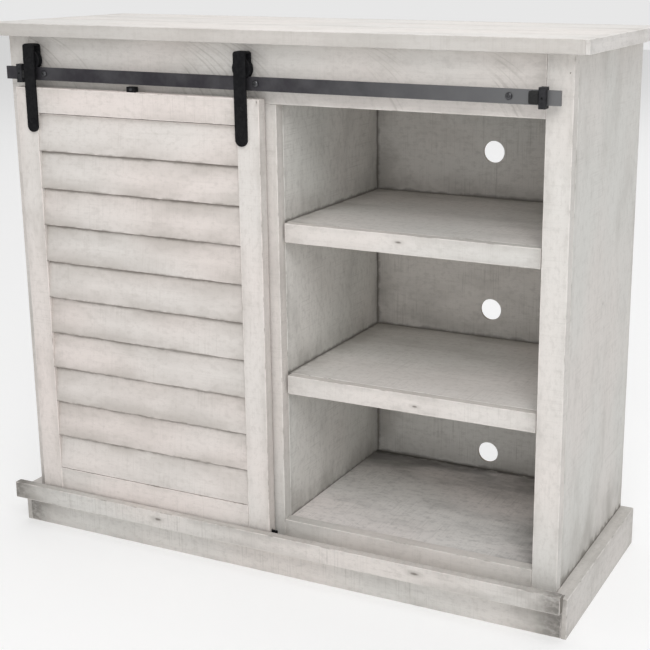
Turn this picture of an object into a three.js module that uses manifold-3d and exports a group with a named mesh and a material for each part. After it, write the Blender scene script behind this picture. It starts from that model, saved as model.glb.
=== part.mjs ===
// Media cabinet with one louvred door hung from a flat steel track.
// Millimetres, +Z up, +Y towards the back, origin on the floor under the middle of the bounding box.
import * as THREE from 'three';
import { mergeVertices } from 'three/addons/utils/BufferGeometryUtils.js';
import Module from 'manifold-3d';

// Carcass
const HALF_W = 600;          // outer face of each side panel
const FRONT = -192;          // front face of the face frame
const BACK = 244;            // rear face of the carcass
const SIDE_T = 20;           // side panels
const FRAME_T = 25;          // face frame
const STILE_W = 49;
const UNDER_TOP = 1064;      // underside of the top
const TOP_Z = 1089;          // upper face of the top
const TOP_HALF = 635;
const TOP_FRONT = FRONT - 35;
const END_W = 8;             // lipping on each end of the top
const RAIL_Z = 952;          // underside of the top rail
const SILL_Z = 116;          // upper edge of the bottom rails
const DECK_Z = 113;          // upper face of the bottom panel
const BOARD_T = 18;          // shelves, bottom panel, partition
const DADO = 5;              // depth of the grooves that house them
const TONGUE_L = 4.8;        // tongue on each end of a housed board, flush with its underside
const TONGUE_T = 9;
const BACK_T = 5;            // back panel sheet
const PART_X0 = 6.5;         // partition, flush with the right edge of the middle stile
const PART_X1 = PART_X0 + BOARD_T;

// Base
const LEDGE_Z = 81;          // top of the skirt boards and of the door channel
const SKIRT_HALF = 628;
const SKIRT_LAP = 617.4;     // the plinth laps over the skirts to here
const PLINTH_T = 20;
const CHANNEL_FRONT = FRONT - 34;
const CHANNEL_Z = 64;
const LIP_T = 18;
const LIP_Z = 100;
const LIP_X0 = -629;
const LIP_X1 = 624;

// Shelves and cable holes
const SHELF_TOPS = { lower: 419, upper: 725 };
const NOSE_H = 38;
const NOSE_T = 19;
const NOSE_SETBACK = 12;
const HOLE_R = 23;
const HOLE_ZS = [153, 481.5, 823];
const HOLE_X = { left: -287, right: 296 };

// Track
const TRACK_X0 = -589.5;
const TRACK_X1 = 585.5;
const TRACK_Y0 = FRONT - 25.5;
const TRACK_Y1 = FRONT - 20.5;
const TRACK_Z0 = 978;
const TRACK_Z1 = 1003.5;
const TRACK_MID_Z = 991;
const BOLT_XS = { left: -494.5, middle: -3, right: 493.5 };

// Door
const DOOR_X0 = -563.5;
const DOOR_X1 = 6.5;
const DOOR_Y0 = FRONT - 32;
const DOOR_Y1 = FRONT - 10;
const DOOR_Z0 = 92;
const DOOR_Z1 = 963.5;
const DOOR_STILE_W = 49;
const DOOR_RAIL_TOP_Z = 912.7;
const DOOR_RAIL_LOW_Z = 146;
const SLATS = 10;
const SLAT_PITCH = 76.8;
const SLAT_T = 8;
const SLAT_SLOPE = Math.atan(8.4 / SLAT_PITCH);
const SLAT_LAP = 6;
const SLAT_HOUSING = 6;      // how far each slat end runs into its stile

// Hangers and wheels
const HANGER_XS = { left: -523.3, right: -31.3 };
const STRAP_W = 26;
const STRAP_T = 4;
const STRAP_LOW_Z = 874;
const YOKE_TOP_Z = 1050;
const YOKE_BACK = FRONT - 12.5;
const YOKE_CORNER = 6;       // rounding of the two upper corners, seen from the front
const AXLE_Z = TRACK_Z1 + 14.2;
const WHEEL_Y = (TRACK_Y0 + TRACK_Y1) / 2;
const WHEEL_R = 20;
const GROOVE_R = 14;
const WHEEL_HALF_T = 6;

const wasm = await Module();
wasm.setup();

const model = new THREE.Group();
model.name = 'media_cabinet';

const FINISH = {
  wood: { color: 0xd9d5cd, roughness: 0.78, metalness: 0 },
  door: { color: 0xdedad3, roughness: 0.78, metalness: 0 },
  inside: { color: 0xbfbab1, roughness: 0.82, metalness: 0 },
  steel: { color: 0x3f4245, roughness: 0.45, metalness: 0.7 },
  black: { color: 0x1b1c1e, roughness: 0.5, metalness: 0.55 },
  rubber: { color: 0x18181a, roughness: 0.85, metalness: 0 },
};

function add(name, geometry, finish) {
  const mesh = new THREE.Mesh(geometry, new THREE.MeshStandardMaterial(FINISH[finish]));
  mesh.name = name;
  model.add(mesh);
}

function block(x0, x1, y0, y1, z0, z1) {
  const g = new THREE.BoxGeometry(x1 - x0, y1 - y0, z1 - z0);
  return g.translate((x0 + x1) / 2, (y0 + y1) / 2, (z0 + z1) / 2);
}

function outline(points) {
  return new THREE.Shape(points.map(([a, b]) => new THREE.Vector2(a, b)));
}

// A shape drawn in X and Z, carried back from y0 to y1.
function alongY(shape, y0, y1, curveSegments = 24) {
  const g = new THREE.ExtrudeGeometry(shape, { depth: y1 - y0, bevelEnabled: false, curveSegments });
  return g.rotateX(Math.PI / 2).translate(0, y1, 0);
}

// A shape drawn in Y and Z, carried across from x0 to x1.
function alongX(shape, x0, x1, curveSegments = 12) {
  const g = new THREE.ExtrudeGeometry(shape, { depth: x1 - x0, bevelEnabled: false, curveSegments });
  g.rotateX(Math.PI / 2).rotateZ(Math.PI / 2);
  return g.translate(x0, 0, 0);
}

function roundHole(shape, x, z, r) {
  const hole = new THREE.Path();
  hole.absarc(x, z, r, 0, Math.PI * 2, true);
  shape.holes.push(hole);
}

function turned(profile, x, y, z, segments = 32) {
  const g = new THREE.LatheGeometry(profile.map(([r, h]) => new THREE.Vector2(r, h)), segments);
  return g.translate(x, y, z);
}

function toSolid(geometry) {
  const bare = geometry.clone();
  bare.deleteAttribute('normal');
  bare.deleteAttribute('uv');
  const g = mergeVertices(bare.index ? bare.toNonIndexed() : bare, 1e-4);
  return new wasm.Manifold(new wasm.Mesh({
    numProp: 3,
    vertProperties: new Float32Array(g.attributes.position.array),
    triVerts: new Uint32Array(g.index.array),
  }));
}

function toGeometry(solid) {
  const m = solid.getMesh();
  const g = new THREE.BufferGeometry();
  g.setAttribute('position', new THREE.BufferAttribute(new Float32Array(m.vertProperties), 3));
  g.setIndex(new THREE.BufferAttribute(new Uint32Array(m.triVerts), 1));
  const flat = g.toNonIndexed();
  flat.computeVertexNormals();
  return flat;
}

// Top: one glued-up panel with a lipping on each end
add('top_panel', block(-TOP_HALF + END_W, TOP_HALF - END_W, TOP_FRONT, BACK, UNDER_TOP, TOP_Z), 'wood');
add('top_end_left', block(-TOP_HALF, -TOP_HALF + END_W, TOP_FRONT, BACK, UNDER_TOP, TOP_Z), 'wood');
add('top_end_right', block(TOP_HALF - END_W, TOP_HALF, TOP_FRONT, BACK, UNDER_TOP, TOP_Z), 'wood');

// Side panels and partition: boards standing on edge, grooved for the shelves and the bottom panel
const FRAME_BACK = FRONT + FRAME_T;
const BACK_FACE = BACK - BACK_T;
const INNER = HALF_W - SIDE_T;

function grooved(x0, x1, y1, z0, grooves) {
  let solid = toSolid(block(x0, x1, FRAME_BACK, y1, z0, UNDER_TOP));
  for (const { face, z } of grooves) {
    const g0 = face === 'left' ? x0 - 1 : x1 - DADO;
    const g1 = face === 'left' ? x0 + DADO : x1 + 1;
    const low = z - BOARD_T;
    const cut = block(g0, g1, FRAME_BACK - 1, Math.min(y1 + 1, BACK_FACE + 0.2), low, low + TONGUE_T + 0.2);
    solid = solid.subtract(toSolid(cut));
  }
  return toGeometry(solid);
}

// A board that fills the space between x0 and x1, with a tongue on each end for a groove.
function housedBoard(x0, x1, y0, top) {
  const low = top - BOARD_T;
  const step = low + TONGUE_T;
  return alongY(outline([
    [x0, top], [x0, step], [x0 - TONGUE_L, step], [x0 - TONGUE_L, low],
    [x1 + TONGUE_L, low], [x1 + TONGUE_L, step], [x1, step], [x1, top],
  ]), y0, BACK_FACE);
}

const shelfGrooves = (face) => Object.values(SHELF_TOPS).map((z) => ({ face, z }));
const sideGrooves = (face) => [...shelfGrooves(face), { face, z: DECK_Z }];
const bothFaces = [...shelfGrooves('left'), ...shelfGrooves('right')];
add('side_panel_left', grooved(-HALF_W, -INNER, BACK, 0, sideGrooves('right')), 'wood');
add('side_panel_right', grooved(INNER, HALF_W, BACK, 0, sideGrooves('left')), 'wood');
add('partition', grooved(PART_X0, PART_X1, BACK_FACE, DECK_Z, bothFaces), 'inside');

// Face frame: outer stiles run to the floor, the top rail passes over the middle stile
add('stile_left', block(-HALF_W, -HALF_W + STILE_W, FRONT, FRAME_BACK, 0, UNDER_TOP), 'wood');
add('stile_middle', block(-STILE_W / 2, STILE_W / 2, FRONT, FRAME_BACK, 0, RAIL_Z), 'wood');
add('stile_right', block(HALF_W - STILE_W, HALF_W, FRONT, FRAME_BACK, 0, UNDER_TOP), 'wood');
const railX = HALF_W - STILE_W;
const topRail = outline([[-railX, RAIL_Z], [railX, RAIL_Z], [railX, UNDER_TOP], [-railX, UNDER_TOP]]);
for (const x of Object.values(BOLT_XS)) {
  roundHole(topRail, x, TRACK_MID_Z, 3.3);
}
add('rail_top', alongY(topRail, FRONT, FRAME_BACK), 'wood');
add('rail_bottom_left', block(-railX, -STILE_W / 2, FRONT, FRAME_BACK, SILL_Z - 50, SILL_Z), 'wood');
add('rail_bottom_right', block(STILE_W / 2, railX, FRONT, FRAME_BACK, SILL_Z - 50, SILL_Z), 'wood');

// Bottom panel and the rails hidden at the back
add('bottom_panel', housedBoard(-INNER, INNER, FRAME_BACK, DECK_Z), 'inside');
add('back_base_rail', block(-INNER, INNER, BACK_FACE - 19, BACK_FACE, 0, DECK_Z - BOARD_T), 'inside');
add('back_top_rail_left', block(-INNER, PART_X0, BACK_FACE - 19, BACK_FACE, 1004, UNDER_TOP), 'inside');
add('back_top_rail_right', block(PART_X1, INNER, BACK_FACE - 19, BACK_FACE, 1004, UNDER_TOP), 'inside');

// Back panels, each with three cable holes, meeting behind the partition
const seamX = (PART_X0 + PART_X1) / 2;
for (const [side, x0, x1] of [['left', -INNER, seamX], ['right', seamX, INNER]]) {
  const sheet = outline([[x0, 40], [x1, 40], [x1, UNDER_TOP], [x0, UNDER_TOP]]);
  for (const z of HOLE_ZS) {
    roundHole(sheet, HOLE_X[side], z, HOLE_R);
  }
  add(`back_panel_${side}`, alongY(sheet, BACK_FACE, BACK, 20), 'inside');
}

// Shelves: a board housed in the grooves, with a deep nosing set between the stiles
for (const [level, top] of Object.entries(SHELF_TOPS)) {
  for (const side of ['left', 'right']) {
    const [x0, x1] = side === 'left' ? [-INNER, PART_X0] : [PART_X1, INNER];
    const noseY = FRONT + NOSE_SETBACK;
    const noseX = side === 'left' ? -546.5 : 29.5;
    add(`shelf_${side}_${level}`, housedBoard(x0, x1, noseY + NOSE_T, top), 'inside');
    const nosing = block(noseX, noseX + 517, noseY, noseY + NOSE_T, top - NOSE_H, top);
    add(`shelf_nosing_${side}_${level}`, nosing, 'wood');
  }
}

// Base: skirt boards outside the sides, plinth between their laps, channel board and its lip
for (const [side, s] of [['left', -1], ['right', 1]]) {
  const plan = outline([
    [s * HALF_W, BACK],
    [s * SKIRT_HALF, BACK],
    [s * SKIRT_HALF, FRONT - PLINTH_T],
    [s * SKIRT_LAP, FRONT - PLINTH_T],
    [s * SKIRT_LAP, FRONT],
    [s * HALF_W, FRONT],
  ]);
  const g = new THREE.ExtrudeGeometry(plan, { depth: LEDGE_Z, bevelEnabled: false });
  add(`skirt_${side}`, g, 'wood');
}
add('plinth_front', block(-SKIRT_LAP, SKIRT_LAP, FRONT - PLINTH_T, FRONT, 0, CHANNEL_Z), 'wood');
add('channel_board', block(-SKIRT_LAP, SKIRT_LAP, CHANNEL_FRONT, FRONT, CHANNEL_Z, LEDGE_Z), 'wood');
add('channel_lip', block(LIP_X0, LIP_X1, CHANNEL_FRONT - LIP_T, CHANNEL_FRONT, CHANNEL_Z, LIP_Z), 'wood');

// Track: flat bar on three standoffs screwed into the top rail
const bar = outline([[TRACK_X0, TRACK_Z0], [TRACK_X1, TRACK_Z0], [TRACK_X1, TRACK_Z1], [TRACK_X0, TRACK_Z1]]);
for (const x of Object.values(BOLT_XS)) {
  roundHole(bar, x, TRACK_MID_Z, 3.5);
}
add('track_bar', alongY(bar, TRACK_Y0, TRACK_Y1), 'steel');
for (const [place, x] of Object.entries(BOLT_XS)) {
  const headFront = TRACK_Y0 - 3.5;
  const profile = [
    [0, headFront], [4.6, headFront], [6.4, headFront + 1.6], [6.4, TRACK_Y0], [3.2, TRACK_Y0], [3.2, TRACK_Y1],
    [6, TRACK_Y1], [6, FRONT], [3, FRONT], [3, FRONT + 20], [0, FRONT + 23],
  ];
  add(`track_standoff_${place}`, turned(profile, x, 0, TRACK_MID_Z), 'black');
}

// End stops clamped on the track, and the rubber pads the hangers meet
for (const [side, x0] of [['left', -556], ['right', 549]]) {
  const y0 = FRONT - 36;
  const y1 = FRONT - 17.5;
  const clamp = outline([[y0, 972.5], [y1, 972.5], [y1, 1009], [y0, 1009]]);
  clamp.holes.push(new THREE.Path([
    new THREE.Vector2(TRACK_Y0 - 0.1, TRACK_Z0 - 0.1),
    new THREE.Vector2(TRACK_Y0 - 0.1, TRACK_Z1 + 0.1),
    new THREE.Vector2(TRACK_Y1 + 0.1, TRACK_Z1 + 0.1),
    new THREE.Vector2(TRACK_Y1 + 0.1, TRACK_Z0 - 0.1),
  ]));
  add(`track_stop_${side}`, alongX(clamp, x0, x0 + 13), 'black');
}
function pad(x0, x1, y0, y1, z0, z1, r) {
  const s = new THREE.Shape();
  s.moveTo(y0 + r, z0);
  s.lineTo(y1, z0);
  s.lineTo(y1, z1);
  s.lineTo(y0 + r, z1);
  s.quadraticCurveTo(y0, z1, y0, z1 - r);
  s.lineTo(y0, z0 + r);
  s.quadraticCurveTo(y0, z0, y0 + r, z0);
  return alongX(s, x0, x1, 6);
}
add('stop_pad_left', pad(-543, -538, FRONT - 35, TRACK_Y0 - 0.3, 981, 997, 3), 'rubber');
add('stop_pad_right', pad(532, 549, FRONT - 38, TRACK_Y0 - 0.3, 980, 1002, 5), 'rubber');

// Floor guide: a fin on a foot, standing in the channel below the middle stile
add('door_guide', alongX(outline([
  [FRONT - 29, LEDGE_Z], [FRONT - 13, LEDGE_Z], [FRONT - 13, LEDGE_Z + 3], [FRONT - 19, LEDGE_Z + 3],
  [FRONT - 19, 98], [FRONT - 23, 98], [FRONT - 23, LEDGE_Z + 3], [FRONT - 29, LEDGE_Z + 3],
]), -14, 18), 'black');

// Door slats: one board each, leaning back at the top, with its ends housed in the stiles
const slatX0 = DOOR_X0 + DOOR_STILE_W - SLAT_HOUSING;
const slatX1 = DOOR_X1 - DOOR_STILE_W + SLAT_HOUSING;
function slat(index, extra) {
  const first = index === 0;
  const last = index === SLATS - 1;
  const lowZ = last ? DOOR_RAIL_LOW_Z + 1.1 : DOOR_RAIL_TOP_Z - SLAT_PITCH * (index + 1);
  const tall = first ? SLAT_PITCH - 1.2 : SLAT_PITCH + SLAT_LAP - (last ? 1 : 0);
  const g = block(slatX0 - extra, slatX1 + extra, -extra, SLAT_T + extra, -extra, tall + extra);
  return g.rotateX(-SLAT_SLOPE).translate(0, DOOR_Y0 + 0.6, lowZ);
}
for (let i = 0; i < SLATS; i += 1) {
  add(`door_slat_${String(i + 1).padStart(2, '0')}`, slat(i, 0), 'door');
}

// Door frame: stiles full height, rails between them, a groove along the bottom for the guide
for (const [side, x0] of [['left', DOOR_X0], ['right', DOOR_X1 - DOOR_STILE_W]]) {
  let solid = toSolid(block(x0, x0 + DOOR_STILE_W, DOOR_Y0, DOOR_Y1, DOOR_Z0, DOOR_Z1));
  for (let i = 0; i < SLATS; i += 1) {
    solid = solid.subtract(toSolid(slat(i, 0.15)));
  }
  const guideGroove = block(x0 - 1, x0 + DOOR_STILE_W + 1, FRONT - 24, FRONT - 18, DOOR_Z0 - 1, DOOR_Z0 + 9);
  solid = solid.subtract(toSolid(guideGroove));
  add(`door_stile_${side}`, toGeometry(solid), 'door');
}
const railX0 = DOOR_X0 + DOOR_STILE_W;
const railX1 = DOOR_X1 - DOOR_STILE_W;
add('door_rail_top', block(railX0, railX1, DOOR_Y0, DOOR_Y1, DOOR_RAIL_TOP_Z, DOOR_Z1), 'door');
add('door_rail_bottom', alongX(outline([
  [DOOR_Y0, DOOR_Z0], [FRONT - 24, DOOR_Z0], [FRONT - 24, DOOR_Z0 + 9], [FRONT - 18, DOOR_Z0 + 9],
  [FRONT - 18, DOOR_Z0], [DOOR_Y1, DOOR_Z0], [DOOR_Y1, DOOR_RAIL_LOW_Z], [DOOR_Y0, DOOR_RAIL_LOW_Z],
]), railX0, railX1), 'door');
add('jump_block', block(-293, -273, FRONT - 29, FRONT - 17, DOOR_Z1, DOOR_Z1 + 10.5), 'black');

// Hangers: a strap bent over the wheel, with the axle riveted through both legs
for (const [side, x] of Object.entries(HANGER_XS)) {
  const bend = new THREE.Shape();
  const top = YOKE_TOP_Z;
  const r = 6;
  bend.moveTo(DOOR_Y0 - STRAP_T, STRAP_LOW_Z);
  bend.lineTo(DOOR_Y0, STRAP_LOW_Z);
  bend.lineTo(DOOR_Y0, top - STRAP_T - 2);
  bend.quadraticCurveTo(DOOR_Y0, top - STRAP_T, DOOR_Y0 + 2, top - STRAP_T);
  bend.lineTo(YOKE_BACK - STRAP_T - 2, top - STRAP_T);
  bend.quadraticCurveTo(YOKE_BACK - STRAP_T, top - STRAP_T, YOKE_BACK - STRAP_T, top - STRAP_T - 2);
  bend.lineTo(YOKE_BACK - STRAP_T, AXLE_Z - 13);
  bend.lineTo(YOKE_BACK, AXLE_Z - 13);
  bend.lineTo(YOKE_BACK, top - r);
  bend.quadraticCurveTo(YOKE_BACK, top, YOKE_BACK - r, top);
  bend.lineTo(DOOR_Y0 - STRAP_T + r, top);
  bend.quadraticCurveTo(DOOR_Y0 - STRAP_T, top, DOOR_Y0 - STRAP_T, top - r);
  const half = STRAP_W / 2;
  const front = new THREE.Shape();
  front.moveTo(x - half, STRAP_LOW_Z + half);
  front.absarc(x, STRAP_LOW_Z + half, half, Math.PI, Math.PI * 2, false);
  front.lineTo(x + half, top - YOKE_CORNER);
  front.quadraticCurveTo(x + half, top, x + half - YOKE_CORNER, top);
  front.lineTo(x + half - YOKE_CORNER, top + 5);
  front.lineTo(x - half + YOKE_CORNER, top + 5);
  front.lineTo(x - half + YOKE_CORNER, top);
  front.quadraticCurveTo(x - half, top, x - half, top - YOKE_CORNER);
  const strap = toSolid(alongX(bend, x - half - 5, x + half + 5, 5))
    .intersect(toSolid(alongY(front, FRONT - 60, FRONT, 12)));
  const axleProfile = [
    [0, DOOR_Y0 - 6], [4, DOOR_Y0 - 6], [6.5, DOOR_Y0 - 4.4], [6.5, DOOR_Y0 - 3], [4, DOOR_Y0 - 3],
    [4, YOKE_BACK - 1], [6, YOKE_BACK - 1], [6, YOKE_BACK + 1.4], [0, YOKE_BACK + 1.8],
  ];
  const axle = toSolid(turned(axleProfile, x, 0, AXLE_Z, 24));
  add(`hanger_${side}`, toGeometry(strap.add(axle)), 'black');
}

// Wheels: grooved rollers running on the upper edge of the track
for (const [side, x] of Object.entries(HANGER_XS)) {
  const h = WHEEL_HALF_T;
  const profile = [
    [4.3, -h], [8, -h], [8.5, -h + 0.6], [15.5, -h + 0.6], [16, -h], [WHEEL_R - 0.8, -h], [WHEEL_R, -h + 0.8],
    [WHEEL_R, -4], [GROOVE_R, -3], [GROOVE_R, 3], [WHEEL_R, 4],
    [WHEEL_R, h - 0.8], [WHEEL_R - 0.8, h], [16, h], [15.5, h - 0.6], [8.5, h - 0.6], [8, h], [4.3, h], [4.3, -h],
  ];
  add(`wheel_${side}`, turned(profile, x, WHEEL_Y, AXLE_Z, 36), 'black');
}

export default model;
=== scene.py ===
"""A tall media cabinet in whitewashed, rough-sawn pine.

The right bay is open, with two shelves; the left bay is closed by one louvred door that hangs on two
wheels from a flat steel track. The sections below follow the cabinet in the order it is put together.
"""
from math import atan, ceil, cos, pi, radians, sin, sqrt
import zlib
import bmesh
import bpy
from mathutils import Euler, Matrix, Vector


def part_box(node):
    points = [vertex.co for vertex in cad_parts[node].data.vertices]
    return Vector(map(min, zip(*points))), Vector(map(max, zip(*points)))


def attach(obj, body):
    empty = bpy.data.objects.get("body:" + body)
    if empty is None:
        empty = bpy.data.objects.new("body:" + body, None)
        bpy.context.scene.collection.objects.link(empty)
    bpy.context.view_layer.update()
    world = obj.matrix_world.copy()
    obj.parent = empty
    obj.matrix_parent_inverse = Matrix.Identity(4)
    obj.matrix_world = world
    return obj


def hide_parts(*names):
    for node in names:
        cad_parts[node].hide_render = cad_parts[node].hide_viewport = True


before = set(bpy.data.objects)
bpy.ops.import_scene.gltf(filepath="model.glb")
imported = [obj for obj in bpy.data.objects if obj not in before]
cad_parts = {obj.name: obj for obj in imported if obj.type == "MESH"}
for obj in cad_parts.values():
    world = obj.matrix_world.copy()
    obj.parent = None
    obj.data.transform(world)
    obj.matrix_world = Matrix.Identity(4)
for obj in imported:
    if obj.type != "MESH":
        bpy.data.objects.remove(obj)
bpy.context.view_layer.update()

# ---- Camera ---------------------------------------------------------------------------------------------
# A long lens at a little above the height of the top, to the right of the cabinet, looking slightly down.
# The optical axis meets the cabinet right of the middle, so the picture is a shifted crop.
camera = bpy.data.objects.new("camera", bpy.data.cameras.new("camera"))
bpy.context.scene.collection.objects.link(camera)
camera.location = (1.2577, -2.2960, 1.2216)
camera.rotation_euler = (radians(75.077), 0, radians(25.361))
camera.data.sensor_width = 36
camera.data.lens = 71.946
camera.data.shift_x = -0.1006
camera.data.shift_y = -0.0374
camera.data.clip_end = 60
bpy.context.scene.camera = camera

# ---- Studio ---------------------------------------------------------------------------------------------
# A pale floor under a white surround, brightest round the horizon so that soft light reaches into the bays.
# A large soft light stands high in front on the right with a weak low one beside it, another hangs
# overhead, and a broad one keeps the floor behind as pale as in front.
bpy.context.scene.view_settings.view_transform = "Standard"
bpy.ops.object.select_all(action="DESELECT")
bpy.ops.mesh.primitive_plane_add(size=30, location=(0, 0, 0))
floor = bpy.context.object
floor.name = "studio_floor"
floor_paper = bpy.data.materials.new("studio floor paper")
floor_paper.use_nodes = True
paper = floor_paper.node_tree.nodes["Principled BSDF"]
paper.inputs["Base Color"].default_value = (0.60, 0.60, 0.60, 1)
paper.inputs["Roughness"].default_value = 0.9
paper.inputs["Emission Color"].default_value = (1, 1, 1, 1)
paper.inputs["Emission Strength"].default_value = 0.42
floor.data.materials.append(floor_paper)

surround = bpy.data.worlds.new("white surround")
surround.use_nodes = True
sky = surround.node_tree
direction = sky.nodes.new("ShaderNodeTexCoord").outputs["Generated"]
height_above = sky.nodes.new("ShaderNodeSeparateXYZ")
sky.links.new(direction, height_above.inputs[0])
glow = sky.nodes.new("ShaderNodeMapRange")
glow.interpolation_type = "SMOOTHSTEP"
sky.links.new(height_above.outputs["Z"], glow.inputs["Value"])
for setting, value in {"From Min": 0.10, "From Max": 0.60, "To Min": 0.80, "To Max": 0.26}.items():
    glow.inputs[setting].default_value = value
sky.links.new(glow.outputs["Result"], sky.nodes["Background"].inputs["Strength"])
sky.nodes["Background"].inputs["Color"].default_value = (1, 1, 1, 1)
bpy.context.scene.world = surround


def softbox(name, place, aim, size, watts):
    """One rectangular studio light at place, turned to shine on aim."""
    lamp = bpy.data.lights.new(name, "AREA")
    lamp.shape = "RECTANGLE"
    lamp.size, lamp.size_y = size
    lamp.energy = watts
    holder = bpy.data.objects.new(name, lamp)
    bpy.context.scene.collection.objects.link(holder)
    holder.location = place
    holder.rotation_euler = (Vector(aim) - Vector(place)).to_track_quat("-Z", "Y").to_euler()


softbox("key light", (1.5, -2.6, 3.4), (0, 0, 0.6), (2.0, 1.8), 66)
softbox("low fill light", (1.9, -3.7, 1.1), (0, 0, 0.6), (1.8, 1.4), 13)
softbox("overhead light", (0, -0.1, 3.4), (0, 0, 0.6), (2.6, 2.2), 31)
softbox("backdrop light", (-1.0, 4.8, 3.6), (-1.0, 4.8, 0), (9.0, 6.0), 110)

# ---- Side panels ----------------------------------------------------------------------------------------
# Two pine panels, 20 mm thick, standing on edge with stopped grooves inside for the shelves. Like all the
# wood they are sawn rough, eased along the arrises, stained thin white and rubbed back by hand.
AXES = "xyz"


def choose(piece, kind, test):
    """In edit mode, selects the faces or edges that pass the test, and nothing else."""
    bpy.ops.mesh.select_mode(type=kind)
    bpy.ops.mesh.select_all(action="DESELECT")
    shape = bmesh.from_edit_mesh(piece.data)
    for part in shape.faces if kind == "FACE" else shape.edges:
        if test(part):
            part.select_set(True)
    bmesh.update_edit_mesh(piece.data)


def apply_modifier(piece, kind, **settings):
    """Adds one modifier and applies it at once."""
    modifier = piece.modifiers.new(kind.lower(), kind)
    for setting, value in settings.items():
        setattr(modifier, setting, value)
    bpy.context.view_layer.objects.active = piece
    bpy.ops.object.modifier_apply(modifier=modifier.name)


def smooth(piece):
    """Shades the eased arrises round and the faces between them flat."""
    bpy.ops.object.select_all(action="DESELECT")
    piece.select_set(True)
    bpy.context.view_layer.objects.active = piece
    bpy.ops.object.shade_smooth_by_angle(angle=radians(50))
    apply_modifier(piece, "WEIGHTED_NORMAL", keep_sharp=True, weight=60)


def eased_copy(node, ease, segments=2):
    """A copy of the CAD node, its triangles merged into whole faces, with every arris eased."""
    bpy.ops.object.select_all(action="DESELECT")
    piece = bpy.data.objects.new(node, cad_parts[node].data.copy())
    bpy.context.scene.collection.objects.link(piece)
    piece.data.materials.clear()
    piece.select_set(True)
    bpy.context.view_layer.objects.active = piece
    bpy.ops.object.mode_set(mode="EDIT")
    bpy.ops.mesh.select_all(action="SELECT")
    bpy.ops.mesh.remove_doubles(threshold=0.00001)
    bpy.ops.mesh.customdata_custom_splitnormals_clear()
    bpy.ops.mesh.dissolve_limited(angle_limit=radians(1))
    bpy.ops.object.mode_set(mode="OBJECT")
    apply_modifier(piece, "BEVEL", width=ease, segments=segments, limit_method="ANGLE",
                   angle_limit=radians(35), use_clamp_overlap=True)
    return piece


wear_pattern = bpy.data.textures.new("wear along the arrises", "CLOUDS")
wear_pattern.noise_scale = 0.035
wear_pattern.noise_depth = 3


def sawn_board(low, high, grain, ease=0.0011, pitch=0.02, wear=0.0004):
    """A board between two corners: its long arrises are cut into short lengths, eased, and worn unevenly."""
    size = high - low
    bpy.ops.object.select_all(action="DESELECT")
    bpy.ops.mesh.primitive_cube_add(size=1, location=(low + high) / 2, scale=size)
    bpy.ops.object.transform_apply(location=True, rotation=False, scale=True)
    piece = bpy.context.object
    along = AXES.index(grain)

    def runs_along(edge):
        return abs((edge.verts[0].co - edge.verts[1].co)[along]) > size[along] * 0.9

    def on_arris(edge):
        middle = (edge.verts[0].co + edge.verts[1].co) / 2
        near = [min(middle[i] - low[i], high[i] - middle[i]) < 1e-6 for i in range(3)]
        return sum(near) > 1

    bpy.ops.object.mode_set(mode="EDIT")
    choose(piece, "EDGE", runs_along)
    bpy.ops.mesh.subdivide(number_cuts=max(2, ceil(size[along] / pitch)))
    choose(piece, "EDGE", on_arris)
    bpy.ops.mesh.bevel(offset=ease, segments=2, affect="EDGES")
    bpy.ops.object.mode_set(mode="OBJECT")
    if wear:
        apply_modifier(piece, "DISPLACE", texture=wear_pattern, strength=wear, mid_level=0.9,
                       texture_coords="LOCAL")
    return piece


def lay_grain(piece, low, high, grain, seed, knots=()):
    """Writes what the paint follows: each point's place in the board's own length, width and thickness."""
    size = high - low
    along = AXES.index(grain)
    across = sorted((i for i in range(3) if i != along), key=lambda i: -size[i])
    order = (along, *across)
    mesh = piece.data
    places = mesh.attributes.new("timber", "FLOAT_VECTOR", "POINT")
    for vertex, place in zip(mesh.vertices, places.data):
        place.vector = [vertex.co[i] - low[i] for i in order]
    constants = {"timber_size": [size[i] for i in order], "timber_seed": [seed, seed * 0.37, seed * 0.71],
                 "knot_1": (-9, -9, 0.001), "knot_2": (-9, -9, 0.001)}
    for number, (place_along, place_across, radius) in enumerate(knots, 1):
        constants[f"knot_{number}"] = (place_along - low[order[0]], place_across - low[order[1]], radius)
    for name, value in constants.items():
        for place in mesh.attributes.new(name, "FLOAT_VECTOR", "POINT").data:
            place.vector = value


def finish_board(piece, node, body, paint, grain, knots=(), corners=None, name=None):
    """Lays the grain, paints the board and hangs it on its body in place of the CAD node."""
    low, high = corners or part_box(node)
    piece.name = name or node + "_board"
    piece.data.name = piece.name
    lay_grain(piece, low, high, grain, zlib.crc32(piece.name.encode()) % 89, knots)
    piece.data.materials.append(paint)
    smooth(piece)
    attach(piece, body)
    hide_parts(node)
    return piece


def add_node(tree, kind, feeds, **settings):
    """One shader node: each feed is another node's output, or a plain value."""
    made = tree.nodes.new("ShaderNode" + kind)
    for setting, value in settings.items():
        setattr(made, setting, value)
    for socket, feed in feeds.items():
        if isinstance(feed, bpy.types.NodeSocket):
            tree.links.new(feed, made.inputs[socket])
        else:
            made.inputs[socket].default_value = feed
    return made


SAW_RADIUS = 0.25
SAW_CENTRE = 0.12


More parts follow.
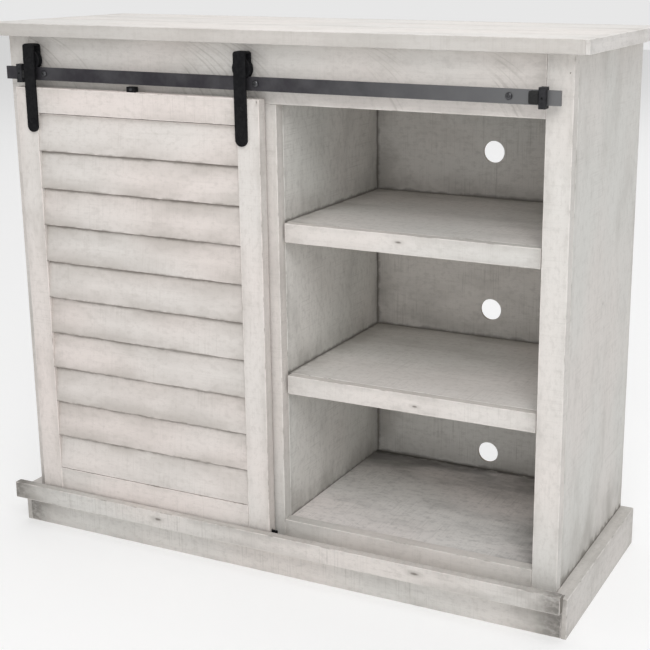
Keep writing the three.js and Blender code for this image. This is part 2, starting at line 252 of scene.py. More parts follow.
# The rub colour is the dark of worn, rubbed wood, and also the colour of the painted shade along creases.
def whitewash(name, cool, warm, rub_and_shade, creases=(), reach=(0.004, 0.011), arcs=0.0, chatter=0.5, ends=0.3,
              ends_reach=0.11, edges=0.0, shade_and_stain_spread=0.6, worn=1.0, stained_before=None):
    """Thin white stain on sawn pine. The grain, saw marks and knots lie in the board's own directions.

    creases are flat planes (axis, metres) where the board meets another. Along them shade is painted dark,
    with
    stain gathered there too: a strong line as wide as reach, and a softer painted shade beside it, as strong
    as shade_and_stain_spread. ends is how heavily the stain was left at the board's ends, edges on its two
    narrow long faces, and worn is how far in from the arrises the wear and the painted highlight reach.
    Behind stained_before, in y, no crease is painted.
    """
    paint = bpy.data.materials.new(name)
    paint.use_nodes = True
    tree = paint.node_tree
    shader = tree.nodes["Principled BSDF"]

    def math(operation, *feeds):
        return add_node(tree, "Math", dict(enumerate(feeds)), operation=operation).outputs[0]

    def vector(operation, *feeds):
        return add_node(tree, "VectorMath", dict(enumerate(feeds)), operation=operation).outputs[0]

    def split(feed):
        return add_node(tree, "SeparateXYZ", {0: feed}).outputs

    def fade(feed, start, end, low=0.0, high=1.0):
        feeds = {"Value": feed, "From Min": start, "From Max": end, "To Min": low, "To Max": high}
        return add_node(tree, "MapRange", feeds, interpolation_type="SMOOTHSTEP").outputs[0]

    def mix(amount, under, over):
        return add_node(tree, "Mix", {0: amount, 6: under, 7: over}, data_type="RGBA").outputs[2]

    def times(base, *parts):
        return (*(channel * part for channel, part in zip(base, parts)), 1)

    def clouds(at, stretch, detail=2.0, roughness=0.5):
        place = vector("MULTIPLY", at, stretch)
        return add_node(tree, "TexNoise", {"Vector": place, "Scale": 1.0, "Detail": detail,
                                           "Roughness": roughness}).outputs[0]

    timber = add_node(tree, "Attribute", {}, attribute_name="timber").outputs["Vector"]
    size = add_node(tree, "Attribute", {}, attribute_name="timber_size").outputs["Vector"]
    seed = add_node(tree, "Attribute", {}, attribute_name="timber_seed").outputs["Vector"]

    # The growth lines part round each knot.
    place = split(timber)
    bent, apart = place[1], None
    for number in (1, 2):
        knot = split(add_node(tree, "Attribute", {}, attribute_name=f"knot_{number}").outputs["Vector"])
        off_across = math("SUBTRACT", place[1], knot[1])
        long_way = math("DIVIDE", math("DIVIDE", math("SUBTRACT", place[0], knot[0]), knot[2]), 2.7)
        short_way = math("DIVIDE", off_across, knot[2])
        distance = math("SQRT", math("ADD", math("MULTIPLY", long_way, long_way),
                                     math("MULTIPLY", short_way, short_way)))
        bent = math("SUBTRACT", bent, math("MULTIPLY", off_across, fade(distance, 0.4, 3.6, 0.7, 0.0)))
        apart = distance if apart is None else math("MINIMUM", apart, distance)
    grain_at = add_node(tree, "CombineXYZ", {0: place[0], 1: bent, 2: place[2]}).outputs[0]
    grain_at = vector("ADD", grain_at, seed)
    sway = clouds(grain_at, (2.2, 7, 7), 1.0)
    swayed = vector("ADD", grain_at, vector("MULTIPLY", sway, (0, 0.02, 0.02)))

    fine = clouds(swayed, (9, 420, 420), 3.0, 0.6)
    growth = clouds(swayed, (2.0, 85, 85), 3.0, 0.55)
    blotch = clouds(grain_at, (6, 13, 13), 3.0, 0.6)
    tone = clouds(grain_at, (2.5, 4, 4), 1.0)
    patch = clouds(grain_at, (9, 16, 16), 2.0)
    saw_lines = clouds(grain_at, (330, 9, 9), 2.0, 0.7)
    speck = clouds(grain_at, (240, 700, 700), 2.0, 0.6)
    mottle = clouds(grain_at, (70, 110, 110), 3.0, 0.65)

    colour = mix(fade(tone, 0.35, 0.65), cool, warm)
    colour = mix(fade(blotch, 0.45, 0.80, 0.0, 0.30), colour, rub_and_shade)
    colour = mix(fade(growth, 0.52, 0.76, 0.0, 0.08), colour, rub_and_shade)
    colour = mix(fade(fine, 0.52, 0.78, 0.0, 0.16), colour, rub_and_shade)
    colour = mix(fade(mottle, 0.46, 0.70, 0.0, 0.22), colour, rub_and_shade)
    saw_cut = math("MULTIPLY", fade(saw_lines, 0.50, 0.72), fade(patch, 0.40, 0.66, 0.25, 1.0))
    colour = mix(math("MULTIPLY", saw_cut, 0.42 * chatter), colour, rub_and_shade)
    colour = mix(fade(speck, 0.60, 0.78, 0.0, 0.40), colour, rub_and_shade)

    arc_cut = None
    if arcs:
        # A circular saw leaves arcs that repeat as the board is fed past it.
        height = math("ADD", place[1], SAW_CENTRE)
        sweep = math("SQRT", math("SUBTRACT", SAW_RADIUS ** 2, math("MULTIPLY", height, height)))
        feed_at = math("SUBTRACT", place[0], sweep)
        stroke = add_node(tree, "TexNoise", {"W": feed_at, "Scale": 95.0, "Detail": 1.0},
                          noise_dimensions="1D").outputs[0]
        where = clouds(grain_at, (7, 3, 3), 2.0)
        arc_cut = math("MULTIPLY", fade(stroke, 0.50, 0.70), fade(where, 0.44, 0.60))
        colour = mix(math("MULTIPLY", arc_cut, arcs), colour, rub_and_shade)

    # Distance to the nearest arris: the middle one of the three distances to the board's faces.
    gap = split(vector("MINIMUM", timber, vector("SUBTRACT", size, timber)))
    arris = math("MAXIMUM", math("MINIMUM", gap[0], gap[1]),
                 math("MINIMUM", math("MAXIMUM", gap[0], gap[1]), gap[2]))
    ragged = clouds(grain_at, (38, 60, 60), 3.0, 0.6)
    gathered = math("MULTIPLY", fade(arris, 0.0, 0.018, 1.0, 0.0), fade(blotch, 0.35, 0.65, 0.05, 0.30))
    colour = mix(gathered, colour, rub_and_shade)
    heavy = math("MULTIPLY", fade(gap[0], 0.0, ends_reach, 1.0, 0.0), fade(blotch, 0.30, 0.62, 0.25, 1.0))
    colour = mix(math("MULTIPLY", heavy, 0.5 * ends), colour, rub_and_shade)
    grey_end = math("MULTIPLY", fade(gap[0], 0.0, 0.42 * ends_reach, 1.0, 0.0),
                    fade(mottle, 0.30, 0.60, 0.3, 1.0))
    colour = mix(math("MULTIPLY", grey_end, 0.42 * ends), colour, times(rub_and_shade, 0.5, 0.5, 0.5))
    if edges:
        edge_grain = math("LESS_THAN", gap[1], 0.0006)
        colour = mix(math("MULTIPLY", edge_grain, edges), colour, rub_and_shade)
    # The arrises are painted paler than the wood: a painted highlight, and wear rubbed pale.
    rubbed = math("MULTIPLY", fade(arris, 0.0003, 0.0026 * worn, 1.0, 0.0),
                  fade(ragged, 0.42, 0.60, 0.75, 0.1))
    colour = mix(rubbed, colour, times(warm, 1.12, 1.13, 1.14))
    bare = math("MULTIPLY", fade(arris, 0.0002, 0.0022 * worn, 1.0, 0.0), fade(ragged, 0.56, 0.70))
    colour = mix(math("MULTIPLY", bare, 0.7), colour, times(rub_and_shade, 0.7, 0.68, 0.65))
    end_grain = math("LESS_THAN", gap[0], 0.0004)
    colour = mix(math("MULTIPLY", end_grain, min(1.0, ends)), colour, times(rub_and_shade, 0.6, 0.58, 0.55))

    # Painted shade along the creases, with stain gathered there: a dark line, and a softer shade spread
    # beside it.
    if creases:
        here = split(add_node(tree, "TexCoord", {}).outputs["Object"])
        nearest = None
        for axis, level in creases:
            away = math("ABSOLUTE", math("SUBTRACT", here[AXES.index(axis)], level))
            nearest = away if nearest is None else math("MINIMUM", nearest, away)
        width = fade(ragged, 0.3, 0.7, *reach)
        if stained_before is not None:
            nearest = math("ADD", nearest, math("GREATER_THAN", here[1], stained_before))
        line = add_node(tree, "MapRange", {"Value": nearest, "From Min": 0.0, "From Max": width,
                                           "To Min": 0.75, "To Max": 0.0},
                        interpolation_type="SMOOTHSTEP").outputs[0]
        spread = math("MULTIPLY", fade(nearest, 0.0, 6.0 * reach[1], 1.0, 0.0),
                      fade(blotch, 0.30, 0.68, 0.2, 0.85))
        colour = mix(math("MULTIPLY", spread, shade_and_stain_spread), colour, rub_and_shade)
        colour = mix(line, colour, times(rub_and_shade, 0.42, 0.40, 0.38))

    core = fade(math("ADD", apart, math("MULTIPLY", math("SUBTRACT", ragged, 0.5), 0.9)), 0.25, 1.1, 1.0, 0.0)
    halo = fade(apart, 0.8, 2.8, 0.38, 0.0)
    colour = mix(halo, colour, rub_and_shade)
    colour = mix(math("MULTIPLY", core, 0.74), colour, (0.125, 0.105, 0.09, 1))

    height = math("ADD", math("MULTIPLY", fine, -0.5), math("MULTIPLY", growth, -0.35))
    height = math("ADD", height, math("MULTIPLY", saw_cut, -0.5 * chatter))
    height = math("ADD", height, math("MULTIPLY", core, -0.9))
    if arc_cut:
        height = math("ADD", height, math("MULTIPLY", arc_cut, -0.7))
    bump = add_node(tree, "Bump", {"Height": height, "Strength": 0.55, "Distance": 0.0009})
    tree.links.new(bump.outputs[0], shader.inputs["Normal"])
    tree.links.new(colour, shader.inputs["Base Color"])
    tree.links.new(fade(blotch, 0.3, 0.7, 0.62, 0.80), shader.inputs["Roughness"])
    shader.inputs["Specular IOR Level"].default_value = 0.32
    return paint


cabinet_paint = whitewash("whitewashed pine", cool=(0.70, 0.685, 0.655, 1), warm=(0.745, 0.70, 0.665, 1),
                          rub_and_shade=(0.42, 0.395, 0.365, 1))
# The sides are painted darker just above the skirts, where the skirt meets each of them: painted shade, with
# stain gathered in that corner.
side_paint = whitewash("whitewashed pine side", cool=(0.70, 0.69, 0.66, 1), warm=(0.735, 0.70, 0.668, 1),
                       rub_and_shade=(0.42, 0.40, 0.37, 1), ends=0.15, reach=(0.002, 0.026), shade_and_stain_spread=0.95,
                       creases=[("z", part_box("skirt_right")[1].z)])
SIDE_KNOTS = {"right": [(0.579, 0.037, 0.0013)], "left": [(0.702, -0.05, 0.004), (0.31, 0.12, 0.0025)]}
for side in ("left", "right"):
    node = f"side_panel_{side}"
    finish_board(eased_copy(node, 0.0011), node, "cabinet", side_paint, "z",
                 knots=SIDE_KNOTS[side])

# ---- Partition ------------------------------------------------------------------------------------------
# The upright between the bays, housed with the shelves on both faces. The corners where shelves, deck and
# back meet it are painted dark: painted shade, with stain gathered there and never rubbed back.
SHELF_TOPS = [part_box(f"shelf_right_{level}")[1].z for level in ("lower", "upper")]
SHELF_UNDERSIDES = [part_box(f"shelf_right_{level}")[0].z for level in ("lower", "upper")]
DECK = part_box("bottom_panel")[1].z
BACK_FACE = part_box("back_panel_right")[0].y
flat_creases = [("z", level) for level in (*SHELF_TOPS, *SHELF_UNDERSIDES, DECK)]
inside_colours = dict(cool=(0.68, 0.67, 0.64, 1), warm=(0.71, 0.68, 0.645, 1), rub_and_shade=(0.30, 0.285, 0.262, 1),
                      chatter=0.9)
upright_paint = whitewash("whitewashed pine upright", cool=(0.76, 0.755, 0.72, 1),
                          warm=(0.785, 0.765, 0.73, 1), rub_and_shade=(0.34, 0.325, 0.30, 1), chatter=0.7,
                          creases=[*flat_creases, ("y", BACK_FACE)])
finish_board(eased_copy("partition", 0.0008), "partition", "cabinet", upright_paint, "z")

# ---- Bottom panel and back rails ------------------------------------------------------------------------
# The deck of both bays, and the rails at the back that keep the case square and carry the deck.
bay_left, bay_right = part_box("partition")[1].x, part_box("side_panel_right")[0].x
# The shelves are painted dark along the back and where they meet the partition and the sides: painted shade
# in the corners, with stain gathered there.
board_paint = whitewash("whitewashed pine shelf board", cool=(0.75, 0.735, 0.705, 1),
                        warm=(0.79, 0.755, 0.725, 1), rub_and_shade=(0.38, 0.36, 0.33, 1),
                        creases=[("y", BACK_FACE), ("x", bay_left), ("x", bay_right),
                                 ("x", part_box("partition")[0].x), ("x", -bay_right)])
# The deck is painted paler than the shelves, and dark towards the back and the two side panels: painted
# shade, with stain gathered in the corners.
deck_paint = whitewash("whitewashed pine deck", cool=(0.86, 0.84, 0.815, 1), warm=(0.89, 0.84, 0.815, 1),
                       rub_and_shade=(0.15, 0.145, 0.14, 1), reach=(0.004, 0.030), shade_and_stain_spread=1.0,
                       creases=[("y", BACK_FACE), ("x", bay_right), ("x", -bay_right)])
finish_board(eased_copy("bottom_panel", 0.0008), "bottom_panel", "cabinet", deck_paint, "x")
for node in ("back_base_rail", "back_top_rail_left", "back_top_rail_right"):
    low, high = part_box(node)
    finish_board(sawn_board(low, high, "x"), node, "cabinet", cabinet_paint, "x")

# ---- Back panels ----------------------------------------------------------------------------------------
# One thin sheet behind each bay, pinned over the back, with three round cable holes cut by a hole saw.
# The raw edge of the sheet shows dark inside each hole.


def cut_away(piece):
    """Cuts the shape made last out of the piece, then takes that shape away."""
    cutter = bpy.context.object
    bpy.ops.object.transform_apply(location=True, rotation=True, scale=True)
    apply_modifier(piece, "BOOLEAN", object=cutter, operation="DIFFERENCE", solver="EXACT")
    bpy.data.objects.remove(cutter, do_unlink=True)


def drill(piece, centres, radius, start, end, sides=64):
    """Bores round holes from front to back, between the two depths in y."""
    for x, z in centres:
        bpy.ops.object.select_all(action="DESELECT")
        bpy.ops.mesh.primitive_cylinder_add(vertices=sides, radius=radius, depth=end - start,
                                            location=(x, (start + end) / 2, z), rotation=(pi / 2, 0, 0))
        cut_away(piece)


HOLE_R = 0.023
HOLE_HEIGHTS = (0.153, 0.4815, 0.823)
HOLE_MIDDLES = {"left": -0.287, "right": 0.296}
# The back sheets are painted dark along the shelves, deck, partition and sides that meet them: painted shade,
# with stain gathered there.
back_paint = whitewash("whitewashed back sheet",
                       creases=[*flat_creases, ("x", bay_left), ("x", bay_right),
                                ("x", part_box("partition")[0].x), ("x", -bay_right)],
                       stained_before=BACK_FACE + 0.001, **inside_colours)
raw_edge = bpy.data.materials.new("raw cut edge")
raw_edge.use_nodes = True
at = add_node(raw_edge.node_tree, "TexCoord", {}).outputs["Object"]
fibre = add_node(raw_edge.node_tree, "TexNoise", {"Vector": at, "Scale": 900.0, "Detail": 2.0}).outputs[0]
tint = add_node(raw_edge.node_tree, "Mix", {0: fibre, 6: (0.16, 0.12, 0.09, 1), 7: (0.34, 0.28, 0.22, 1)},
                data_type="RGBA").outputs[2]
raw_shader = raw_edge.node_tree.nodes["Principled BSDF"]
raw_edge.node_tree.links.new(tint, raw_shader.inputs["Base Color"])
raw_shader.inputs["Roughness"].default_value = 0.85
for side in ("left", "right"):
    node = f"back_panel_{side}"
    low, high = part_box(node)
    sheet = sawn_board(low, high, "x", ease=0.0005, wear=0.0)
    drill(sheet, [(HOLE_MIDDLES[side], z) for z in HOLE_HEIGHTS], HOLE_R, low.y - 0.01, high.y + 0.01)
    finish_board(sheet, node, "cabinet", back_paint, "x")
    sheet.data.materials.append(raw_edge)
    for face in sheet.data.polygons:
        off = [sqrt((face.center.x - HOLE_MIDDLES[side]) ** 2 + (face.center.z - z) ** 2)
               for z in HOLE_HEIGHTS]
        if min(off) < HOLE_R + 0.0002 and abs(face.normal.y) < 0.5:
            face.material_index = 1

# ---- Face frame -----------------------------------------------------------------------------------------
# Flat stiles and rails on the front of the case. The top rail kept the arcs of the circular saw, and a
# nail hole shows near the top of the right stile.
rail_paint = whitewash("whitewashed pine with saw arcs", cool=(0.70, 0.685, 0.655, 1),
                       warm=(0.745, 0.70, 0.665, 1), rub_and_shade=(0.42, 0.395, 0.365, 1), arcs=0.36, chatter=0.3)
NAIL_HOLE = (0.592, 1.031)
FRAME = {
    "stile_left": ("z", cabinet_paint), "stile_middle": ("z", cabinet_paint),
    "stile_right": ("z", cabinet_paint), "rail_top": ("x", rail_paint),
    "rail_bottom_left": ("x", cabinet_paint), "rail_bottom_right": ("x", cabinet_paint),
}
for node, (grain, paint) in FRAME.items():
    low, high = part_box(node)
    board = sawn_board(low, high, grain)
    if node == "rail_top":
        screws = [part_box(f"track_standoff_{place}") for place in ("left", "middle", "right")]
        centres = [((a.x + b.x) / 2, (a.z + b.z) / 2) for a, b in screws]
        drill(board, centres, 0.0033, low.y - 0.01, high.y + 0.01, sides=24)
    if node == "stile_right":
        drill(board, [NAIL_HOLE], 0.0012, low.y - 0.01, low.y + 0.004, sides=12)
    finish_board(board, node, "cabinet", paint, grain)

# ---- Shelves --------------------------------------------------------------------------------------------
# Boards housed in the sides, with a deep nosing across the front of each, set back between the stiles.
NOSE_KNOTS = {"right_upper": (0.270, 0.710, 0.0028), "right_lower": (0.305, 0.396, 0.0024),
              "left_upper": (-0.31, 0.707, 0.003), "left_lower": (-0.22, 0.399, 0.003)}
for bay in ("left", "right"):
    for level in ("lower", "upper"):
        node = f"shelf_{bay}_{level}"
        finish_board(eased_copy(node, 0.0008), node, "cabinet", board_paint, "x")
        node = f"shelf_nosing_{bay}_{level}"
        low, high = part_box(node)
        finish_board(sawn_board(low, high, "x", ease=0.0016), node, "cabinet",
                     cabinet_paint, "x", knots=[NOSE_KNOTS[f"{bay}_{level}"]])

# ---- Base -----------------------------------------------------------------------------------------------
# Skirt boards outside the sides, a plinth between them, and on it the channel that the door's foot runs
# in: a flat board with a taller lip along its front. The base is painted darker than the case above it, and
# at the ends the stain was left heavier.
base_paint = whitewash("whitewashed pine base", cool=(0.66, 0.645, 0.615, 1), warm=(0.715, 0.67, 0.635, 1),
                       rub_and_shade=(0.32, 0.30, 0.275, 1), ends=1.9, ends_reach=0.15, chatter=0.9)
skirt_paint = whitewash("whitewashed pine skirt", cool=(0.66, 0.645, 0.615, 1), warm=(0.70, 0.66, 0.63, 1),
                        rub_and_shade=(0.36, 0.34, 0.31, 1), ends=0.25, chatter=0.9)
for side in ("left", "right"):
    node = f"skirt_{side}"
    finish_board(eased_copy(node, 0.0013), node, "cabinet", skirt_paint, "y")
LIP_KNOTS = [(-0.252, 0.083, 0.0034), (0.335, 0.085, 0.0038)]
for node in ("plinth_front", "channel_board", "channel_lip"):
    low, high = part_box(node)
    finish_board(sawn_board(low, high, "x", ease=0.0015), node, "cabinet", base_paint,
                 "x", knots=LIP_KNOTS if node == "channel_lip" else ())

# ---- Top ------------------------------------------------------------------------------------------------
# Three planks glued edge to edge, with a thin lipping across each end.
top_paint = whitewash("whitewashed pine top", cool=(0.72, 0.70, 0.675, 1), warm=(0.75, 0.715, 0.685, 1),
                      rub_and_shade=(0.42, 0.395, 0.365, 1), edges=0.46, ends=0.12, worn=0.4)
end_paint = whitewash("whitewashed pine lipping", cool=(0.78, 0.765, 0.74, 1), warm=(0.80, 0.77, 0.745, 1),
                      rub_and_shade=(0.42, 0.395, 0.365, 1), ends=0.1, worn=0.4)
low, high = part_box("top_panel")
seams = [low.y, -0.037, 0.104, high.y]
for number in range(3):
    plank_low = Vector((low.x, seams[number], low.z))
    plank_high = Vector((high.x, seams[number + 1], high.z))
    finish_board(sawn_board(plank_low, plank_high, "x", ease=0.0012, wear=0.0002), "top_panel", "cabinet",
                 top_paint, "x", corners=(plank_low, plank_high),
                 name=f"top_plank_{number + 1}")
for side in ("left", "right"):
    node = f"top_end_{side}"
    low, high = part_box(node)
    finish_board(sawn_board(low, high, "y", ease=0.0008, wear=0.0002), node, "cabinet",
                 end_paint, "y")

# ---- Track ----------------------------------------------------------------------------------------------
# A flat steel bar on three spacers, held by low round bolts. Its dark finish gets paler to the right.


def metal(name, dark, light, roughness, metallic, scale, bump_depth=0.0002, paler=None):
    """Bare or coated steel with a mottled surface; paler is its tint at the far right end, if it fades."""
    steel = bpy.data.materials.new(name)
    steel.use_nodes = True
    tree = steel.node_tree
    shader = tree.nodes["Principled BSDF"]
    place = add_node(tree, "TexCoord", {}).outputs["Object"]
    cloud = add_node(tree, "TexNoise", {"Vector": place, "Scale": scale, "Detail": 5.0,
                                        "Roughness": 0.6}).outputs[0]
    pits = add_node(tree, "TexNoise", {"Vector": place, "Scale": 900.0, "Detail": 2.0}).outputs[0]
    shade = add_node(tree, "MapRange", {"Value": cloud, "From Min": 0.35, "From Max": 0.68}).outputs[0]
    tint = add_node(tree, "Mix", {0: shade, 6: dark, 7: light}, data_type="RGBA").outputs[2]
    if paler:
        along = add_node(tree, "SeparateXYZ", {0: place}).outputs[0]
        faded = add_node(tree, "MapRange", {"Value": along, "From Min": 0.05, "From Max": 0.60}).outputs[0]
        tint = add_node(tree, "Mix", {0: faded, 6: tint, 7: paler}, data_type="RGBA").outputs[2]
    gloss = add_node(tree, "MapRange", {"Value": cloud, "From Min": 0.3, "From Max": 0.7,
                                        "To Min": roughness + 0.06, "To Max": roughness - 0.06}).outputs[0]
    bump = add_node(tree, "Bump", {"Height": pits, "Strength": 0.25, "Distance": bump_depth})
    tree.links.new(tint, shader.inputs["Base Color"])
    tree.links.new(gloss, shader.inputs["Roughness"])
    tree.links.new(bump.outputs[0], shader.inputs["Normal"])
    shader.inputs["Metallic"].default_value = metallic
    return steel


def fit_hardware(piece, node, body, finish):
    """Gives a metal or rubber part its finish and hangs it on its body in place of the CAD node."""
    piece.name = node + "_part"
    piece.data.name = piece.name
    piece.data.materials.append(finish)
    smooth(piece)
    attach(piece, body)
    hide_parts(node)


def turned(name, profile, x, z, steps=48):
    """A turned part whose axis runs from front to back: its profile (radius, y) is drawn out, then spun."""
    bpy.ops.object.select_all(action="DESELECT")
    bpy.ops.mesh.primitive_plane_add(size=0.001, location=(x + profile[0][0], profile[0][1], z))
    bpy.ops.object.transform_apply(location=True, rotation=False, scale=False)
    piece = bpy.context.object
    piece.name = name
    bpy.ops.object.mode_set(mode="EDIT")
    bpy.ops.mesh.select_mode(type="VERT")
    bpy.ops.mesh.select_all(action="SELECT")
    bpy.ops.mesh.merge(type="CENTER")
    for (radius, y), (next_radius, next_y) in zip(profile, profile[1:]):
        bpy.ops.mesh.extrude_vertices_move(
            TRANSFORM_OT_translate={"value": (next_radius - radius, next_y - y, 0)})
    bpy.ops.mesh.select_all(action="SELECT")
    bpy.ops.mesh.spin(steps=steps, angle=2 * pi, center=(x, 0, z), axis=(0, 1, 0))
    bpy.ops.mesh.select_all(action="SELECT")
    bpy.ops.mesh.remove_doubles(threshold=0.00002)
    bpy.ops.mesh.normals_make_consistent(inside=False)
    bpy.ops.object.mode_set(mode="OBJECT")
    return piece


track_steel = metal("lacquered steel", (0.050, 0.047, 0.054, 1), (0.092, 0.090, 0.096, 1), 0.50, 0.8, 22,
                    paler=(0.20, 0.202, 0.206, 1))
black_coat = metal("black powder coat", (0.006, 0.006, 0.007, 1), (0.013, 0.013, 0.014, 1), 0.62, 0.0, 160,
                   bump_depth=0.0005)
track_steel.node_tree.nodes["Principled BSDF"].inputs["Specular IOR Level"].default_value = 0.3
black_coat.node_tree.nodes["Principled BSDF"].inputs["Specular IOR Level"].default_value = 0.10
bolt_steel = metal("rubbed bolt steel", (0.05, 0.05, 0.055, 1), (0.13, 0.13, 0.135, 1), 0.30, 0.9, 90)
fit_hardware(eased_copy("track_bar", 0.0006), "track_bar", "cabinet", track_steel)
bar_low, bar_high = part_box("track_bar")
frame_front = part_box("rail_top")[0].y
for place in ("left", "middle", "right"):
    node = f"track_standoff_{place}"
    low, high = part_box(node)
    head = low.y
    profile = [(0, head + 0.0020), (0.0024, head + 0.0020), (0.0026, head + 0.0003), (0.0029, head),
               (0.0042, head + 0.0002), (0.0056, head + 0.0009), (0.0063, head + 0.0021), (0.0064, bar_low.y),
               (0.0032, bar_low.y), (0.0032, bar_high.y), (0.0060, bar_high.y), (0.0060, frame_front),
               (0.0030, frame_front), (0.0030, high.y - 0.003), (0, high.y)]
    fit_hardware(turned(node, profile, (low.x + high.x) / 2, (low.z + high.z) / 2), node, "cabinet",
                 bolt_steel)

# ---- Track stops ----------------------------------------------------------------------------------------
# A block clamped round each end of the track by a socket screw in its face, with a rubber pad on its inner
# side that the hanger meets.
stop_coat = metal("worn black powder coat", (0.016, 0.016, 0.018, 1), (0.030, 0.030, 0.033, 1), 0.55, 0.0,
                  120, bump_depth=0.0005)
stop_coat.node_tree.nodes["Principled BSDF"].inputs["Specular IOR Level"].default_value = 0.2
rubber = metal("black rubber", (0.006, 0.006, 0.006, 1), (0.011, 0.011, 0.011, 1), 0.8, 0.0, 300)
for side in ("left", "right"):
    node = f"track_stop_{side}"
    low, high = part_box(node)
    block = eased_copy(node, 0.0009)
    socket = ((low.x + high.x) / 2, (low.z + high.z) / 2)
    drill(block, [socket], 0.0022, low.y - 0.01, low.y + 0.0025, sides=6)
    fit_hardware(block, node, "cabinet", stop_coat)
    fit_hardware(eased_copy(f"stop_pad_{side}", 0.0012), f"stop_pad_{side}", "cabinet", rubber)

# ---- Door guide -----------------------------------------------------------------------------------------
# A folded steel fin screwed down in the channel, which keeps the foot of the door from swinging.
fit_hardware(eased_copy("door_guide", 0.0005), "door_guide", "cabinet", black_coat)

# ---- Door frame -----------------------------------------------------------------------------------------
# Two stiles and two rails. Each stile is housed on its inner side for the ends of ten slats, which all lean
# back at the top by the same angle.
SLAT_T = 0.008
SLAT_SLOPE = atan(8.4 / 76.8)
HOUSING_ROOM = 0.00015
GROOVE_AHEAD = 0.021
GROOVE_WIDE = 0.006


def slat_place(number):
    """The lower front corner of a slat at its left end, its length, and its height measured up its slope."""
    low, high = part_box(f"door_slat_{number:02d}")
    tall = (high.z - low.z - SLAT_T * sin(SLAT_SLOPE)) / cos(SLAT_SLOPE)
    return Vector((low.x, low.y, low.z + SLAT_T * sin(SLAT_SLOPE))), high.x - low.x, tall


def house_slats(stile):
    """Cuts a sloping housing in the stile for the end of every slat."""
    for number in range(1, 11):
        foot, length, tall = slat_place(number)
        middle = Vector((length / 2, SLAT_T / 2, tall / 2))
        middle.rotate(Euler((-SLAT_SLOPE, 0, 0)))
        room = Vector((length, SLAT_T, tall)) + Vector((2, 2, 2)) * HOUSING_ROOM
        bpy.ops.object.select_all(action="DESELECT")
        bpy.ops.mesh.primitive_cube_add(size=1, location=foot + middle, rotation=(-SLAT_SLOPE, 0, 0),
                                        scale=room)
        cut_away(stile)


def groove_foot(board):
    """Cuts the groove, 9 mm deep, under the door that the guide's fin runs in."""
    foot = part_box("door_stile_left")[0].z
    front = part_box("stile_left")[0].y
    bpy.ops.object.select_all(action="DESELECT")
    bpy.ops.mesh.primitive_cube_add(size=1, location=(-0.3, front - GROOVE_AHEAD, foot + 0.004),
                                    scale=(0.8, GROOVE_WIDE, 0.010))
    cut_away(board)


door_colours = dict(cool=(0.735, 0.702, 0.670, 1), warm=(0.775, 0.708, 0.672, 1), rub_and_shade=(0.44, 0.405, 0.37, 1))
door_paint = whitewash("whitewashed pine door", **door_colours)
for side in ("left", "right"):
    node = f"door_stile_{side}"
    low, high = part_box(node)
    stile = sawn_board(low, high, "z", ease=0.0009, pitch=0.05)
    house_slats(stile)
    groove_foot(stile)
    finish_board(stile, node, "door", door_paint, "z",
                 knots=[(0.958, 0.002, 0.0015)] if side == "right" else ())
for node, ease in {"door_rail_top": 0.0011, "door_rail_bottom": 0.0004}.items():
    low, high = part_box(node)
    rail = sawn_board(low, high, "x", ease=ease)
    if node == "door_rail_bottom":
        groove_foot(rail)
    finish_board(rail, node, "door", door_paint, "x")

# ---- Door slats -----------------------------------------------------------------------------------------
# Ten thin boards, each leaning back at the top behind the lower edge of the one above. Those lower edges
# were planed by hand, so they are not quite straight.
slat_feet = [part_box(f"door_slat_{number:02d}")[0].z for number in range(1, 10)]
# Under the lower edge of each of the top nine slats a dark line is painted on the slat below: painted shadow,
# with some stain gathered there.
slat_paint = whitewash("whitewashed pine slat", reach=(0.0032, 0.0078),
                       creases=[("z", foot - 0.0010) for foot in slat_feet], **door_colours)
wander_pattern = bpy.data.textures.new("wandering lower edge", "CLOUDS")
wander_pattern.noise_scale = 0.045
wander_pattern.noise_depth = 2
for number in range(1, 11):
    node = f"door_slat_{number:02d}"
    foot, length, tall = slat_place(number)
    head = foot + Vector((length, SLAT_T, tall))
    slat = sawn_board(foot, head, "x", ease=0.0009 if number < 10 else 0.0004, pitch=0.010)
    if number < 10:
        lower_edge = slat.vertex_groups.new(name="lower edge")
        lower_edge.add([v.index for v in slat.data.vertices if v.co.z < foot.z + 0.004
                        and foot.x + 0.008 < v.co.x < head.x - 0.008], 1.0, "REPLACE")
        apply_modifier(slat, "DISPLACE", texture=wander_pattern, strength=0.0028, mid_level=0.42,
                       direction="Z", texture_coords="LOCAL", vertex_group=lower_edge.name)
        slat.vertex_groups.clear()
    slat.name = node + "_board"
    lay_grain(slat, foot, head, "x", 11 * number)
    slat.select_set(True)
    bpy.context.view_layer.objects.active = slat
    bpy.ops.object.mode_set(mode="EDIT")
    bpy.ops.mesh.select_all(action="SELECT")
    bpy.ops.transform.rotate(value=SLAT_SLOPE, orient_axis="X", center_override=foot)
    bpy.ops.object.mode_set(mode="OBJECT")
    slat.data.materials.append(slat_paint)
    smooth(slat)
    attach(slat, "door")
    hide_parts(node)

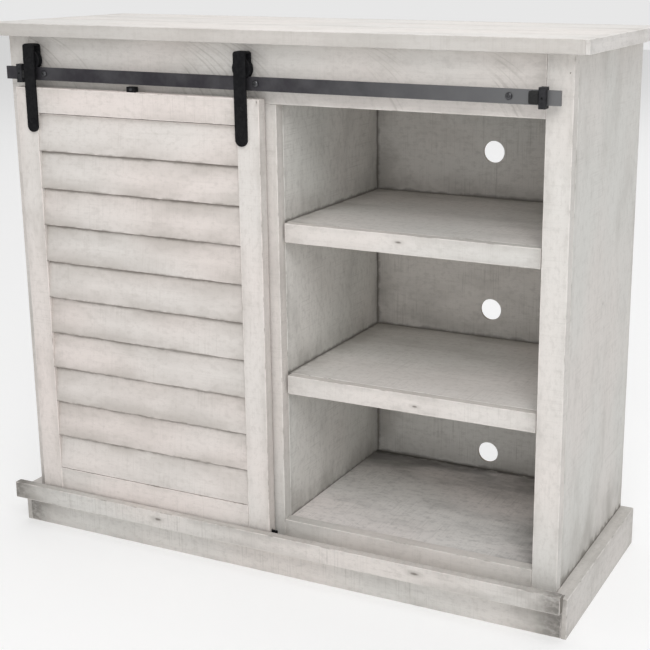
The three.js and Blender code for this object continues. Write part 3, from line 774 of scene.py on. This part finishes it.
# ---- Hangers --------------------------------------------------------------------------------------------
# A steel strap bolted to the door and bent back over each wheel, with the axle riveted through both legs.
# Two low round bolts hold each strap.
STRAP_T = 0.004
STRAP_BOLT_HEIGHTS = (0.897, 0.944)
door_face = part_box("door_stile_left")[0].y
for side in ("left", "right"):
    node = f"hanger_{side}"
    fit_hardware(eased_copy(node, 0.0008, segments=3), node, "door", black_coat)
    low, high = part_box(node)
    strap_front = door_face - STRAP_T
    for number, height in enumerate(STRAP_BOLT_HEIGHTS, 1):
        profile = [(0, strap_front - 0.0012), (0.0018, strap_front - 0.0020), (0.0036, strap_front - 0.0017),
                   (0.0048, strap_front - 0.0009), (0.0052, strap_front), (0.0030, strap_front + 0.0003),
                   (0, strap_front + 0.0003)]
        bolt = turned(f"hanger_{side}_bolt_{number}", profile, (low.x + high.x) / 2, height, steps=32)
        bolt.data.materials.append(black_coat)
        smooth(bolt)
        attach(bolt, "door")

# ---- Wheels ---------------------------------------------------------------------------------------------
# Turned steel rollers with a groove that rides on the upper edge of the track.
for side in ("left", "right"):
    node = f"wheel_{side}"
    low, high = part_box(node)
    rim, half = (high.x - low.x) / 2, (high.y - low.y) / 2
    middle = (low.y + high.y) / 2
    half_profile = [(0.0043, half), (0.008, half), (0.0085, half - 0.0006), (0.0155, half - 0.0006),
                    (0.016, half), (rim - 0.0010, half), (rim - 0.0003, half - 0.0003), (rim, half - 0.0010),
                    (rim, 0.0040), (rim - 0.0008, 0.0036), (0.0145, 0.0030), (0.0140, 0.0025)]
    profile = [(radius, middle - y) for radius, y in half_profile]
    profile += [(radius, middle + y) for radius, y in reversed(half_profile)]
    profile.append(profile[0])
    wheel = turned(node, profile, (low.x + high.x) / 2, (low.z + high.z) / 2, steps=64)
    fit_hardware(wheel, node, node, black_coat)

# ---- Jump block -----------------------------------------------------------------------------------------
# A small block screwed to the top of the door under the track, so that the wheels cannot lift off.
fit_hardware(eased_copy("jump_block", 0.0012), "jump_block", "door", black_coat)
low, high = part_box("jump_block")
profile = [(0, low.y - 0.0004), (0.0014, low.y - 0.0009), (0.0026, low.y - 0.0006), (0.0031, low.y),
           (0.0020, low.y + 0.0004), (0, low.y + 0.0004)]
screw = turned("jump_block_screw", profile, (low.x + high.x) / 2, (low.z + high.z) / 2, steps=24)
screw.data.materials.append(bolt_steel)
smooth(screw)
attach(screw, "door")
